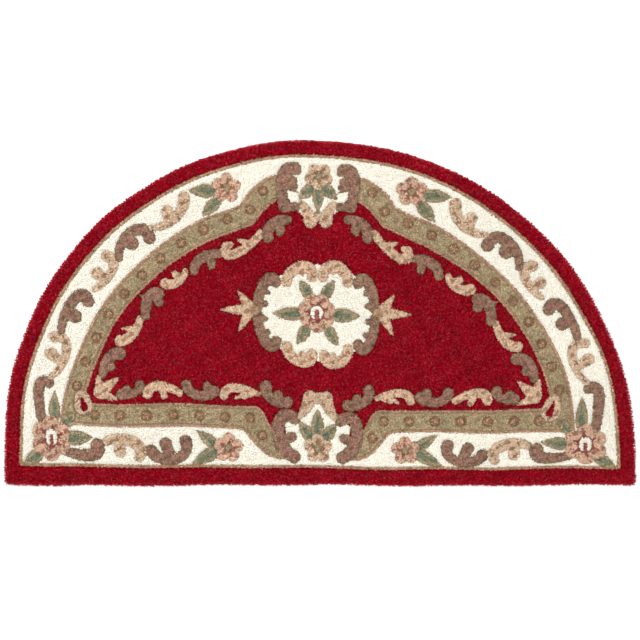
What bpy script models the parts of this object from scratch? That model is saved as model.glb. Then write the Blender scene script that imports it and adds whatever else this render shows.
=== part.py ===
"""A hand-tufted half moon rug lying flat: one wool slab with a round pile edge and carved lines.

The design is drawn on squared paper, as a tufter's is: 630 squares across, on one half, and mirrored.
In it x runs out from the middle line and y up from the straight edge. Lengths in metres are real sizes.
"""
import math
from collections import namedtuple

import bmesh
import bpy
import numpy as np
from mathutils import Vector
from mathutils.geometry import delaunay_2d_cdt

# Driving sizes, in metres.
WIDTH = 1.27
THICKNESS = 0.013
BACKING_THICKNESS = 0.002
BACKING_INSET = 0.0015
CARVED_DEPTH = 0.0022
CARVED_HALF_WIDTH = 0.0026

# The design's own sizes, in squares.
SQUARES_ACROSS = 630
ARCH_RADIUS = SQUARES_ACROSS / 2
SKIRT_HEIGHT = 31
CORNER_RADIUS = 4
RIM_WIDTH = 14
FOOT_RIM_WIDTH = 17
GUARD_WIDTH = 3.2
BAND_OUTER_RADIUS = 260
BAND_INNER_RADIUS = 239
BAND_FOOT = 56
BAND_TOP = 79
OUT_OF_TRUE = 0.0213
OUT_OF_TRUE_FADE = 60
SHOULDER_BULGE = 1.5
FLAT_TOP = 2
HAND_WOBBLE = 0.5
Wave = namedtuple("Wave", "across up shift")
WAVES_ACROSS = (Wave(41, 17, 0), Wave(-23, 47, 1.3))
WAVES_UP = (Wave(19, 37, 0.6), Wave(53, -29, 2.1))

# Where the two halves differ: the design strays this far from its place, in squares.
Pull = namedtuple("Pull", "x y right up")
PULLS = (
    Pull(270, 105, 0, 8),
    Pull(215, 150, -3, 1),
    Pull(235, 40, -5, 1),
    Pull(145, 45, -7, -1),
    Pull(90, 92, -6, -5),
    Pull(40, 40, -4, -2),
    Pull(50, 165, -4, -2),
    Pull(92, 174, -3, -3),
    Pull(120, 225, -4, -2),
    Pull(40, 256, -3, 4),
    Pull(-40, 256, -2, 3),
    Pull(-88, 174, -8, -3),
    Pull(-30, 165, -2, -1),
    Pull(-215, 80, -2, -3),
    Pull(-190, 200, -1, -1),
    Pull(-90, 60, -1, -1),
)
PULL_REACH = 40
PULL_HOLD = 0.25
PULL_FADE = 16

SQUARE = WIDTH / SQUARES_ACROSS
HEIGHT_IN_SQUARES = SKIRT_HEIGHT + ARCH_RADIUS

# How closely a line is followed, in squares or points.
LONG_STEP = 22
SPINE_POINTS = 32
SPINE_STRIDE = 8
LOBE_POINTS = 11
ROUND_STEP = 6.5
OVAL_STEP_DEGREES = 12
LINE_TOLERANCE = 0.35
MERGE_WITHIN = 0.25
SMOOTH_UP_TO = math.radians(50)

# How the drawn shapes swell and narrow, as shares of a row's own size.
HANDLE_SHARE = 0.6
LOBE_ROOT_SHARE = 0.95
LEAF_ROOT_SHARE = 0.2
LEAF_CREST = 0.8
TAPER_POWER = 0.8
TIP_HALF_WIDTH = 0.4
PETAL_SHARE = 0.43
FLOWER_MIDDLE_SHARE = 0.6
SHOULDER_SHARE = 0.8

# The pile's round edge: how far each ring lies inside the rim, and its height, in metres.
RimRing = namedtuple("RimRing", "inset height")
RIM_RINGS = (
    RimRing(0.0035, THICKNESS - 0.0003),
    RimRing(0.0010, THICKNESS - 0.0020),
    RimRing(0.0000, THICKNESS - 0.0050),
    RimRing(0.0006, BACKING_THICKNESS),
    RimRing(BACKING_INSET, 0.0),
)

# A scroll's spine leaves its start and arrives at its end on the two headings, in degrees. Its half
# width is given at its start, middle and end. Each lobe grows from the spine at a share of its length
# to a disc of its own: a wide disc makes a bump, and a small one a thorn.
Scroll = namedtuple("Scroll", "x y leave to_x to_y arrive start middle end lobes")
BORDER_SCROLLS = (
    Scroll(136, 283.5, -94, 167.5, 254, 5, 6, 5, 3, ((0.65, 152.5, 270.5, 5.6),)),
    Scroll(169.5, 243.5, 75, 200, 222.5, -97, 6.3, 5.5, 4, ((0.7, 187.5, 238, 7.2),)),
    Scroll(212, 223.5, 190, 223, 191.5, -30, 6, 4.5, 3, ((0.7, 221, 206.5, 6),)),
    Scroll(230, 179.5, 70, 257.8, 150, -82, 6.3, 5.5, 4.1, ((0.7, 243.5, 164.5, 7),)),
    Scroll(265, 142.8, 165, 267.5, 103, -35, 5.3, 4.4, 3, ((0.7, 268.5, 126, 6),)),
    Scroll(269.5, 97, 30, 277, 57, -100, 5.3, 5.5, 4.5, ()),
    Scroll(253, 31, 195, 220.5, 37.5, 80, 4.3, 6, 7.3, ()),
    Scroll(212.5, 41.5, 150, 179.5, 27.5, -60, 4, 6, 4.8, ((0.3, 198, 33, 6),)),
    Scroll(168, 33.5, 235, 133.5, 42, 70, 6.2, 5, 6.3, ((0.45, 153.5, 40, 6),)),
)
FIELD_SCROLLS = (
    Scroll(31.5, 264, 8, 50.5, 245.5, -112, 4.5, 5.7, 5, (
        (0.3, 38.5, 253, 4.4), (0.3, 40, 249, 2.4),
    )),
    Scroll(58.5, 249.8, -60, 91, 236.5, 100, 4, 4.7, 4.6, (
        (0.25, 79.5, 243, 1.4), (1, 86, 238.5, 2.5),
    )),
    Scroll(95.5, 229.5, 5, 121.5, 213.5, -95, 3.6, 5.2, 4.9, (
        (0.28, 103.5, 219, 4.2), (0.28, 104.5, 217, 2.4),
    )),
    Scroll(131.5, 212, -80, 153, 199.5, 20, 3.5, 4.3, 5.5, ((0.25, 143, 209, 3.5),)),
    Scroll(159.5, 189, 25, 172.3, 166, -97, 5.8, 5.4, 5, (
        (0.12, 159, 180.5, 4.8), (0.5, 178.5, 186.5, 0.8),
    )),
    Scroll(177.5, 163, -80, 198.5, 140.5, 5, 3.5, 4.8, 5.5, ((0.35, 196, 152.5, 1.2),)),
    Scroll(198, 128, 15, 215.5, 108, -90, 6, 5.8, 4, ((0.55, 207.5, 115.5, 4.5),)),
    Scroll(196, 88.5, 188, 178.5, 97, 88, 5.5, 4.3, 4.9, ((0.22, 191.5, 92.5, 4.8),)),
    Scroll(170.5, 88.5, 100, 139.5, 88.5, 215, 5, 4.5, 3.5, ((0.5, 154.5, 85.5, 3),)),
    Scroll(132.5, 97, 262, 105, 92.5, 135, 5.3, 5, 5.5, ((0.85, 111.5, 96.5, 4.9),)),
    Scroll(95.2, 88.5, 100, 60, 90.5, 205, 4.5, 4.3, 2.5, (
        (0.8, 82.5, 86.8, 1.8), (0.9, 75, 88.5, 3),
    )),
    Scroll(52, 98, -78, 31, 82.5, 165, 6, 4.8, 5.8, ((0.75, 40, 89.5, 4.7),)),
)
PANEL_SCROLLS = (
    Scroll(17, 281, -130, 8, 262.5, -100, 3, 5.5, 7, ()),
    Scroll(25, 316.5, 5, 35, 276.5, -98, 7, 6, 5.4, (
        (0, 21.5, 313, 3.6), (0.4, 26.5, 303.5, 5.4), (0.45, 23.5, 298, 3.2), (0.5, 20.5, 291.5, 0.7),
        (1, 22, 277.5, 4.3),
    )),
    Scroll(8, 88.5, -80, 18.5, 68, -50, 7, 5.5, 2.5, ()),
    Scroll(23.5, 66, 40, 25, 28, 205, 6, 6.3, 6.5, ((0.7, 27, 48, 5),)),
)
MEDALLION_SCROLLS = (
    Scroll(31, 204, 95, 5.5, 209, 270, 5.5, 5.5, 5.5, ((0.6, 16, 213, 3.5),)),
    Scroll(31, 138.5, -95, 6, 132.5, 90, 5.5, 5.5, 5.3, ((0.6, 15.5, 131.5, 3.5),)),
    Scroll(41.5, 203, 62, 58.3, 178, -92, 5.4, 5.3, 4.5, (
        (0.65, 49, 193, 2.5), (0.95, 51.5, 181.5, 3),
    )),
    Scroll(41.5, 143.5, -75, 58.5, 170, 95, 5.3, 5.2, 4.5, (
        (0.65, 49.5, 152.5, 3), (0.95, 52, 166, 3),
    )),
)

# A leaf or a spike runs from its root along one heading.
Leaf = namedtuple("Leaf", "x y heading length half_width")
LEAVES = (
    Leaf(264.5, 60, 92, 29, 5.5),
    Leaf(256.5, 54, 136, 20, 5.5),
    Leaf(250.5, 43.5, 176, 25, 6.5),
    Leaf(280.5, 28.5, -30, 18, 6),
    Leaf(101.5, 38, 35, 26, 5.5),
    Leaf(101.5, 34, -28, 29, 6.5),
    Leaf(106.5, 291.5, -3, 25, 6.5),
    Leaf(102, 282, -47, 22, 6),
    Leaf(5.5, 298, -42, 19, 6),
    Leaf(7.5, 47.5, 53, 19, 6),
    Leaf(18.5, 172, -1, 26, 6.5),
    Leaf(7.5, 190, 56, 18, 5.5),
    Leaf(11, 158.5, -59, 19, 5.5),
)
FINIAL_SPIKES = (
    Leaf(66, 175, 0, 28, 6.5),
    Leaf(66, 177, 58, 20, 5.5),
    Leaf(66, 173, -62, 22.5, 5.5),
)
CORNER_SPIKES = (
    Leaf(217, 91, 141, 23, 7),
    Leaf(217, 90, 202, 18, 5.5),
    Leaf(217, 92, 75, 16, 6),
)
MIDDLE_LEAVES = (
    Leaf(0, 298, -90, 27, 5.5),
    Leaf(0, 51, 90, 26, 6.5),
)

Flower = namedtuple("Flower", "x y reach petals turn heart")
FLOWERS = (
    Flower(93, 295, 15.5, 5, 20, 3),
    Flower(90.5, 37, 15, 5, 20, 3),
    Flower(268.5, 43, 21, 6, 30, 7),
)
MIDDLE_FLOWERS = (
    Flower(0, 309, 14.5, 5, 54, 3),
    Flower(0, 37, 15, 5, 18, 3),
    Flower(0, 174, 19.5, 7, 12, 7.8),
)

# The green band's dots, and its two ends: up to the panel at the top and down to the one at the foot.
DOT_RADIUS = 5
ARCH_DOTS = 10
ARCH_DOT_START = 15
ARCH_DOT_STEP = 5.95
FOOT_DOTS = 7
FOOT_DOT_START = 68.5
FOOT_DOT_STEP = 25.7
END_DOTS = ((68.5, 273.5), (55.5, 293), (56.5, 50))
CORNER_DROP = ((234, 76, 9.5), (236, 84, 7.5))
DROP_HEART = ((233, 74, 3.6), (236.5, 84.5, 0.8))
BAND_RISE_OUTER = (
    (112, 266), (90, 273), (79, 278), (74, 286), (68, 293.5), (60, 300.5), (50, 307), (40, 310), (31, 311),
)
BAND_RISE_INNER = (
    (150, 217), (130, 229.5), (110, 240.5), (90, 248.5), (74, 254.5), (66, 257.5), (60, 266), (55, 272.5),
    (48, 279), (40, 284), (31, 286),
)
BAND_DIP_OUTER = (
    (31, 25.5), (41, 26), (50, 29), (58, 35), (65, 42.5), (71, 50), (76, 55), (84, BAND_FOOT),
    (257, BAND_FOOT),
)
BAND_DIP_INNER = (
    (31, 40), (41, 47), (47, 57), (51, 65), (55, 73), (60, 78), (66, BAND_TOP), (232, BAND_TOP),
)
PANEL_TOP = ((20, 272), (8, 262))
PANEL_FOOT = ((8, 86), (20, 72), (34, 60))
MEDALLION_CENTRE = 173
MEDALLION_HALF_SIZE = (60, 47)


def arc(centre_x, centre_y, radius, start, end, points):
    """Points along a circle from one angle to another, in degrees."""
    angle = np.radians(np.linspace(start, end, points))
    return np.stack([centre_x + radius * np.cos(angle), centre_y + radius * np.sin(angle)], 1)


def half_moon(inset, foot):
    """The rug's outline drawn in from the rim: round arch, short skirt and straight foot."""
    radius = ARCH_RADIUS - inset
    steps = round(math.pi * radius / LONG_STEP)
    foot_line = np.linspace(-radius + CORNER_RADIUS, radius - CORNER_RADIUS, round(2 * radius / LONG_STEP))
    return np.concatenate([
        arc(radius - CORNER_RADIUS, foot + CORNER_RADIUS, CORNER_RADIUS, -60, 0, 3),
        arc(0, SKIRT_HEIGHT, radius, 0, 180, steps),
        arc(-radius + CORNER_RADIUS, foot + CORNER_RADIUS, CORNER_RADIUS, 180, 240, 3),
        np.stack([foot_line, np.full(len(foot_line), foot)], 1),
    ])


def band_edge(radius, dip, rise):
    """One long edge of the green band on the drawn half, from its dip at the foot to its rise at the top."""
    low = math.degrees(math.asin((dip[-1][1] - SKIRT_HEIGHT) / radius))
    high = math.degrees(math.acos(rise[0][0] / radius))
    steps = round(radius * math.radians(high - low) / LONG_STEP)
    return np.concatenate([dip, arc(0, SKIRT_HEIGHT, radius, low, high, steps), rise[1:]])


def divided(outline):
    """The closed outline with its long straight stretches divided."""
    points = []
    for here, there in zip(outline, np.roll(outline, -1, axis=0)):
        pieces = max(1, round(np.hypot(*(there - here)) / LONG_STEP))
        points.extend(here + (there - here) * k / pieces for k in range(pieces))
    return np.array(points)


def on_side(shape, side):
    """The shape on the drawn half, or mirrored for the other one."""
    return shape * np.array([side, 1, 1])[:shape.shape[1]]


def spine(row):
    """A scroll's spine, as discs: a curve between its two ends, on their headings."""
    along = np.linspace(0, 1, SPINE_POINTS)[:, None]
    start = np.array([row.x, row.y])
    end = np.array([row.to_x, row.to_y])
    chord = np.hypot(*(end - start))
    toward = math.atan2(row.to_y - row.y, row.to_x - row.x)
    leave = math.radians(row.leave)
    arrive = math.radians(row.arrive)
    turn = abs(math.remainder(leave - toward, math.tau))
    turn += abs(math.remainder(arrive - toward, math.tau))
    handle = HANDLE_SHARE * chord * math.tan(turn / 4) / math.sin(turn / 2)
    first = start + handle * np.array([math.cos(leave), math.sin(leave)])
    second = end - handle * np.array([math.cos(arrive), math.sin(arrive)])
    back = 1 - along
    path = start * back ** 3 + 3 * first * along * back ** 2
    path += 3 * second * along ** 2 * back + end * along ** 3
    half = row.start * back * (back - along) + row.middle * 4 * along * back
    half += row.end * along * (along - back)
    return np.concatenate([path, half], 1)


def scroll(row):
    """The swept shapes of one scroll: its spine and its lobes."""
    body = spine(row)
    shapes = [body]
    for along, x, y, radius in row.lobes:
        root = body[round(along * (SPINE_POINTS - 1))] * [1, 1, LOBE_ROOT_SHARE]
        shapes.append(np.linspace(root, [x, y, radius], LOBE_POINTS))
    return shapes


def disc(x, y, radius):
    """One round shape."""
    return [np.array([[x, y, radius]])]


def tapered(start, end):
    """A shape swept straight from one disc to another."""
    return [np.linspace(start, end, LOBE_POINTS)]


def leaf(row):
    """A leaf's swept shape: pointed at its tip, blunter at its root."""
    along = np.linspace(0, 1, SPINE_POINTS)
    swell = np.sin(math.pi * (LEAF_ROOT_SHARE + (1 - LEAF_ROOT_SHARE) * along ** LEAF_CREST)).clip(0)
    return swept_straight(row, along, row.half_width * swell + TIP_HALF_WIDTH)


def spike(row):
    """A spike's swept shape: widest at its root."""
    along = np.linspace(0, 1, SPINE_POINTS)
    return swept_straight(row, along, row.half_width * (1 - along) ** TAPER_POWER + TIP_HALF_WIDTH)


def swept_straight(row, along, half):
    """Discs along a straight line from the row's root."""
    heading = math.radians(row.heading)
    x = row.x + row.length * along * math.cos(heading)
    y = row.y + row.length * along * math.sin(heading)
    return [np.stack([x, y, half], 1)]


def petals(row):
    """A flower's petals and the disc between them."""
    radius = row.reach * PETAL_SHARE
    far = row.reach - radius
    shapes = disc(row.x, row.y, row.reach * FLOWER_MIDDLE_SHARE)
    for k in range(row.petals):
        angle = math.radians(row.turn + 360 * k / row.petals)
        shapes += disc(row.x + far * math.cos(angle), row.y + far * math.sin(angle), radius)
    return shapes


def swept_outline(discs):
    """The closed outline of a swept shape, with round ends."""
    if len(discs) == 1:
        x, y, radius = discs[0]
        steps = max(6, round(math.tau * radius / ROUND_STEP))
        return arc(x, y, radius, 0, 360 - 360 / steps, steps)
    last = len(discs) - 1
    kept = discs[np.unique(np.append(np.arange(0, last, SPINE_STRIDE), last))]
    along = np.gradient(kept[:, :2], axis=0)
    across = np.stack([-along[:, 1], along[:, 0]], 1) / np.linalg.norm(along, axis=1)[:, None]
    left = kept[:, :2] + across * kept[:, 2:]
    right = kept[:, :2] - across * kept[:, 2:]
    tip = kept[-1, :2] + along[-1] / np.linalg.norm(along[-1]) * kept[-1, 2]
    root = kept[0, :2] - along[0] / np.linalg.norm(along[0]) * kept[0, 2]
    return np.concatenate([left, [tip], right[::-1], [root]])


def outline_distance(points, outline):
    """How far each point lies inside a closed outline, negative outside."""
    nearest = np.full(len(points), np.inf)
    inside = np.zeros(len(points), bool)
    for (ax, ay), (bx, by) in zip(outline, np.roll(outline, -1, axis=0)):
        dx, dy = bx - ax, by - ay
        px, py = points[:, 0] - ax, points[:, 1] - ay
        along = np.clip((px * dx + py * dy) / max(dx * dx + dy * dy, 1e-12), 0, 1)
        nearest = np.minimum(nearest, np.hypot(px - along * dx, py - along * dy))
        if ay != by:
            crossed = (ay > points[:, 1]) != (by > points[:, 1])
            inside ^= crossed & (px < py * dx / dy)
    return np.where(inside, nearest, -nearest)


def swept_distance(points, discs):
    """How far each point lies inside a swept shape, negative outside."""
    deepest = np.full(len(points), -np.inf)
    for x, y, radius in discs:
        deepest = np.maximum(deepest, radius - np.hypot(points[:, 0] - x, points[:, 1] - y))
    return deepest


class Ground:
    """An area of the design inside one closed outline."""

    def __init__(self, outline):
        self.outline = divided(outline)

    def distance(self, points):
        return outline_distance(points, self.outline)

    def lines(self):
        return [self.outline]


class Motif:
    """An area of the design that is the union of swept shapes."""

    def __init__(self, shapes):
        self.shapes = shapes

    def distance(self, points):
        return np.max([swept_distance(points, discs) for discs in self.shapes], axis=0)

    def lines(self):
        return [swept_outline(discs) for discs in self.shapes]


def grounds():
    """The rim, the guard stripe, the border, the green band and the field, from the rim inwards."""
    yield Ground(half_moon(RIM_WIDTH, FOOT_RIM_WIDTH))
    yield Ground(half_moon(RIM_WIDTH + GUARD_WIDTH, FOOT_RIM_WIDTH + GUARD_WIDTH))
    outer = band_edge(BAND_OUTER_RADIUS, BAND_DIP_OUTER, BAND_RISE_OUTER)
    inner = band_edge(BAND_INNER_RADIUS, BAND_DIP_INNER, BAND_RISE_INNER)
    band = np.concatenate([outer, inner[::-1]])
    for side in (1, -1):
        yield Ground(on_side(band, side))
    half_field = np.concatenate([PANEL_FOOT, inner, PANEL_TOP])
    yield Ground(np.concatenate([half_field, on_side(half_field, -1)[::-1]]))
    steps = round(360 / OVAL_STEP_DEGREES)
    circle = arc(0, 0, 1, 0, 360 - OVAL_STEP_DEGREES, steps)
    yield Ground(circle * MEDALLION_HALF_SIZE + [0, MEDALLION_CENTRE])


def dot_places():
    """The middles of the green band's dots on the drawn half."""
    for k in range(ARCH_DOTS):
        angle = math.radians(ARCH_DOT_START + ARCH_DOT_STEP * k)
        radius = (BAND_OUTER_RADIUS + BAND_INNER_RADIUS) / 2
        yield radius * math.cos(angle), SKIRT_HEIGHT + radius * math.sin(angle)
    for k in range(FOOT_DOTS):
        yield FOOT_DOT_START + FOOT_DOT_STEP * k, (BAND_FOOT + BAND_TOP) / 2
    yield from END_DOTS


def motifs():
    """The shapes laid over the grounds, in the order they cover each other."""
    for side in (1, -1):
        shapes = [disc(x, y, DOT_RADIUS) for x, y in dot_places()]
        shapes.append(tapered(*CORNER_DROP))
        shapes.append(tapered(*DROP_HEART))
        for rows in (FINIAL_SPIKES, CORNER_SPIKES):
            shapes.append([shape for row in rows for shape in spike(row)])
        for table in (BORDER_SCROLLS, FIELD_SCROLLS, PANEL_SCROLLS, MEDALLION_SCROLLS):
            shapes.extend(scroll(row) for row in reversed(table))
        shapes.extend(leaf(row) for row in LEAVES)
        for row in FLOWERS:
            shapes.append(petals(row))
            shapes.append(disc(row.x, row.y, row.heart))
        for swept in shapes:
            yield Motif([on_side(discs, side) for discs in swept])
    for row in MIDDLE_LEAVES:
        yield Motif(leaf(row))
    for row in MIDDLE_FLOWERS:
        yield Motif(petals(row))
        yield Motif(disc(row.x, row.y, row.heart))


def carved_distance(points, patches):
    """How far each point lies from the nearest line that shows, where later patches cover earlier ones."""
    distance = np.full(len(points), np.inf)
    for patch in patches:
        inside = patch.distance(points)
        distance = np.where(inside > 0, inside, np.minimum(distance, -inside))
    return distance


def carved_lines(patches):
    """The points of every line that shows, and the pairs of them that are joined."""
    points = []
    pairs = []
    for patch in patches:
        for line in patch.lines():
            shows = carved_distance(line, patches) < LINE_TOLERANCE
            first = len(points)
            points.extend(line)
            for k in range(len(line)):
                after = (k + 1) % len(line)
                if shows[k] or shows[after]:
                    pairs.append((first + k, first + after))
    return np.array(points), pairs


def shoulders(points, pairs, patches):
    """Points on both sides of the lines, where the pile is back at its full height."""
    reach = CARVED_HALF_WIDTH / SQUARE
    found = []
    for a, b in pairs:
        middle = (points[a] + points[b]) / 2
        along = points[b] - points[a]
        length = np.hypot(*along)
        if length > 2 * reach:
            across = np.array([-along[1], along[0]]) / length * reach
            found.extend((middle + across, middle - across))
    found = np.array(found)
    return found[carved_distance(found, patches) > SHOULDER_SHARE * reach]


def laid(points):
    """The design's points in metres where they lie: a little out of true and uneven, as cut by hand."""
    x, y = points[:, 0], points[:, 1]
    lower = OUT_OF_TRUE * x * np.clip(y / OUT_OF_TRUE_FADE, 0, 1)
    angle = np.arctan2(np.maximum(y - SKIRT_HEIGHT, 0), x)
    radius = np.hypot(x, np.maximum(y - SKIRT_HEIGHT, 0))
    bulge = SHOULDER_BULGE * np.abs(np.sin(2 * angle)) - FLAT_TOP * np.sin(angle) ** 6
    bulge *= radius / ARCH_RADIUS
    right, up = pulled(x, y, radius)
    moved_x = x + wobble(x, y, WAVES_ACROSS) + bulge * np.cos(angle) + right
    moved_y = y + wobble(x, y, WAVES_UP) + bulge * np.sin(angle) + up - lower
    return np.stack([moved_x, moved_y - HEIGHT_IN_SQUARES / 2], 1) * SQUARE


def pulled(x, y, radius):
    """How far the design strays from its place inside the rim, as a blend of the nearest pulls."""
    weights = [np.exp(-((x - pull.x) ** 2 + (y - pull.y) ** 2) / PULL_REACH ** 2) for pull in PULLS]
    total = sum(weights) + PULL_HOLD
    inside = np.minimum(ARCH_RADIUS - radius, y).clip(0, PULL_FADE) / PULL_FADE
    right = inside * sum(weight * pull.right for weight, pull in zip(weights, PULLS)) / total
    up = inside * sum(weight * pull.up for weight, pull in zip(weights, PULLS)) / total
    return right, up


def wobble(x, y, waves):
    """How far an unsteady hand moves each point."""
    return HAND_WOBBLE * sum(np.sin(x / wave.across + y / wave.up + wave.shift) for wave in waves)


def pile_face(rim, patches):
    """The top face inside the rim's first ring: triangles that follow every carved line."""
    points, pairs = carved_lines(patches)
    used = np.unique(pairs)
    place = {int(old): new for new, old in enumerate(used)}
    joined = [(place[a], place[b]) for a, b in pairs]
    loose = shoulders(points, pairs, patches)
    first_rim = len(used) + len(loose)
    every = np.concatenate([points[used], loose, rim])
    ring = [(first_rim + k, first_rim + (k + 1) % len(rim)) for k in range(len(rim))]
    made = delaunay_2d_cdt([Vector(p) for p in every], joined + ring, [], 1, MERGE_WITHIN)
    return np.array([tuple(v) for v in made[0]]), made[2]


def build_rug():
    """The rug's mesh: its carved face, then its round edge drawn down ring by ring, then its flat back."""
    patches = [*grounds(), *motifs()]
    ring_inset = RIM_RINGS[0].inset / SQUARE
    points, faces = pile_face(half_moon(ring_inset, ring_inset), patches)
    distance = carved_distance(points, patches) * SQUARE
    depth = CARVED_DEPTH * np.clip(1 - distance / CARVED_HALF_WIDTH, 0, 1)
    mesh = bmesh.new()
    vertices = [
        mesh.verts.new((x, y, THICKNESS - low))
        for (x, y), low in zip(laid(points), depth)
    ]
    for face in faces:
        mesh.faces.new([vertices[k] for k in face])
    draw_down_rim(mesh)
    centre_on_origin(mesh)
    bmesh.ops.recalc_face_normals(mesh, faces=mesh.faces[:])
    return mesh


def draw_down_rim(mesh):
    """Extrudes the face's edge out and down through the rim's rings and closes the flat back."""
    edge = [e for e in mesh.edges if e.is_boundary]
    for vertex in {v for e in edge for v in e.verts}:
        vertex.co.z = RIM_RINGS[0].height
    for ring, after in zip(RIM_RINGS, RIM_RINGS[1:]):
        outward = {v: outward_normal(v) for e in edge for v in e.verts}
        made = bmesh.ops.extrude_edge_only(mesh, edges=edge)["geom"]
        edge = [e for e in made if isinstance(e, bmesh.types.BMEdge) and e.is_boundary]
        moved = {v for e in edge for v in e.verts}
        for vertex in moved:
            above = next(v for e in vertex.link_edges for v in e.verts if v in outward)
            vertex.co += outward[above] * (ring.inset - after.inset)
            vertex.co.z = after.height
    bmesh.ops.holes_fill(mesh, edges=edge, sides=0)


def centre_on_origin(mesh):
    """Moves the rug so that its box's middle stands over the origin."""
    places = np.array([vertex.co.xy for vertex in mesh.verts])
    middle = (places.min(axis=0) + places.max(axis=0)) / 2
    bmesh.ops.translate(mesh, verts=mesh.verts[:], vec=(-middle[0], -middle[1], 0))


def outward_normal(vertex):
    """The level direction out of the sheet at a vertex on its open edge."""
    total = Vector((0, 0, 0))
    for edge in vertex.link_edges:
        if edge.is_boundary:
            along = edge.other_vert(vertex).co - vertex.co
            across = Vector((along.y, -along.x, 0)).normalized()
            middle = edge.link_faces[0].calc_center_median() - vertex.co
            total += across if across.dot(middle) < 0 else -across
    return total.normalized()


def wool():
    """The material of the wool pile."""
    material = bpy.data.materials.new("wool pile")
    material.use_nodes = True
    shader = material.node_tree.nodes["Principled BSDF"]
    shader.inputs["Base Color"].default_value = (0.25, 0.008, 0.016, 1)
    shader.inputs["Roughness"].default_value = 0.95
    shader.inputs["Metallic"].default_value = 0.0
    return material


def clear_scene():
    for item in list(bpy.data.objects):
        bpy.data.objects.remove(item, do_unlink=True)


def main():
    clear_scene()
    collection = bpy.data.collections.new("half_moon_rug")
    bpy.context.scene.collection.children.link(collection)
    shape = build_rug()
    data = bpy.data.meshes.new("rug")
    shape.to_mesh(data)
    shape.free()
    data.shade_smooth()
    data.set_sharp_from_angle(angle=SMOOTH_UP_TO)
    rug = bpy.data.objects.new("rug", data)
    rug.data.materials.append(wool())
    collection.objects.link(rug)


main()
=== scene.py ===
"""A hand-tufted half moon rug in wool pile, seen from straight above on a pale studio floor.

Some hundred and ten thousand flared tufts stand on a closed ground mesh. Each one takes its yarn from
the design, which is drawn on squared paper as in the part: 630 squares across, x out from the middle
line and y up from the straight edge, on one half, and mirrored. Lengths in metres are real sizes.
"""

import math
from collections import namedtuple

import bmesh
import bpy
import numpy as np
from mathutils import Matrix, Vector
from mathutils.geometry import delaunay_2d_cdt


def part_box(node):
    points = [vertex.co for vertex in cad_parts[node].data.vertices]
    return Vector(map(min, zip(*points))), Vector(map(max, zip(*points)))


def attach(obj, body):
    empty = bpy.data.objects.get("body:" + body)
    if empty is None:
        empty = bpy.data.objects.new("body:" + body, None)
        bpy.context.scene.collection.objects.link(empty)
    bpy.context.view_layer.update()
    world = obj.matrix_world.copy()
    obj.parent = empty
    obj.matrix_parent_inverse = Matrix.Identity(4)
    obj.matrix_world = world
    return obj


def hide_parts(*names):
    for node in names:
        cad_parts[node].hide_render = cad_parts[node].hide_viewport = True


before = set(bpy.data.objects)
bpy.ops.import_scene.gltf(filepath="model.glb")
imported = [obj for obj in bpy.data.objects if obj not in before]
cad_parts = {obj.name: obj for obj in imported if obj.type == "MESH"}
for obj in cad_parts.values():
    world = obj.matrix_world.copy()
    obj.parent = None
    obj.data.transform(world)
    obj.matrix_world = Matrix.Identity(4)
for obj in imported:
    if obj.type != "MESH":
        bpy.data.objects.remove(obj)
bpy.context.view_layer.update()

# Driving sizes, in metres.
WIDTH = 1.27
THICKNESS = 0.013
CARVED_DEPTH = 0.0026
CARVED_HALF_WIDTH = 0.0030

# The design's own sizes, in squares.
SQUARES_ACROSS = 630
ARCH_RADIUS = SQUARES_ACROSS / 2
SKIRT_HEIGHT = 31
CORNER_RADIUS = 4
RIM_WIDTH = 14
FOOT_RIM_WIDTH = 17
GUARD_WIDTH = 3.2
BAND_OUTER_RADIUS = 260
BAND_INNER_RADIUS = 239
BAND_FOOT = 56
BAND_TOP = 79
BAND_EDGE_WIDTH = 2.6
OUT_OF_TRUE = 0.0213
OUT_OF_TRUE_FADE = 60
SHOULDER_BULGE = 1.5
FLAT_TOP = 2
HAND_WOBBLE = 0.5
Wave = namedtuple("Wave", "across up shift")
WAVES_ACROSS = (Wave(41, 17, 0), Wave(-23, 47, 1.3))
WAVES_UP = (Wave(19, 37, 0.6), Wave(53, -29, 2.1))

# Where the two halves differ: the design strays this far from its place, in squares.
Pull = namedtuple("Pull", "x y right up")
PULLS = (
    Pull(270, 105, 0, 8),
    Pull(215, 150, -3, 1),
    Pull(235, 40, -5, 1),
    Pull(145, 45, -7, -1),
    Pull(90, 92, -6, -5),
    Pull(40, 40, -4, -2),
    Pull(50, 165, -4, -2),
    Pull(92, 174, -3, -3),
    Pull(120, 225, -4, -2),
    Pull(40, 256, -3, 4),
    Pull(-40, 256, -2, 3),
    Pull(-88, 174, -8, -3),
    Pull(-30, 165, -2, -1),
    Pull(-215, 80, -2, -3),
    Pull(-190, 200, -1, -1),
    Pull(-90, 60, -1, -1),
)
PULL_REACH = 40
PULL_HOLD = 0.25
PULL_FADE = 16

SQUARE = WIDTH / SQUARES_ACROSS
HEIGHT_IN_SQUARES = SKIRT_HEIGHT + ARCH_RADIUS

# How closely a line is followed, in squares or points.
OUTLINE_STEP = 6
SPINE_POINTS = 32
LOBE_POINTS = 11
OVAL_STEP_DEGREES = 6
DEEPEST = 40

# How the drawn shapes swell and narrow, as shares of a row's own size.
HANDLE_SHARE = 0.6
LOBE_ROOT_SHARE = 0.95
LEAF_ROOT_SHARE = 0.2
LEAF_CREST = 0.8
VEIN_SHARE = 0.56
VEIN_REACH = (0.1, 0.68)
TAPER_POWER = 0.8
TIP_HALF_WIDTH = 0.4
PETAL_SHARE = 0.43
PETAL_ROOT_SHARE = 0.6
BLUSH_SHARE = 0.2
BLUSH_OUT = 0.68
BLUSH_TURN = 8

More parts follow.
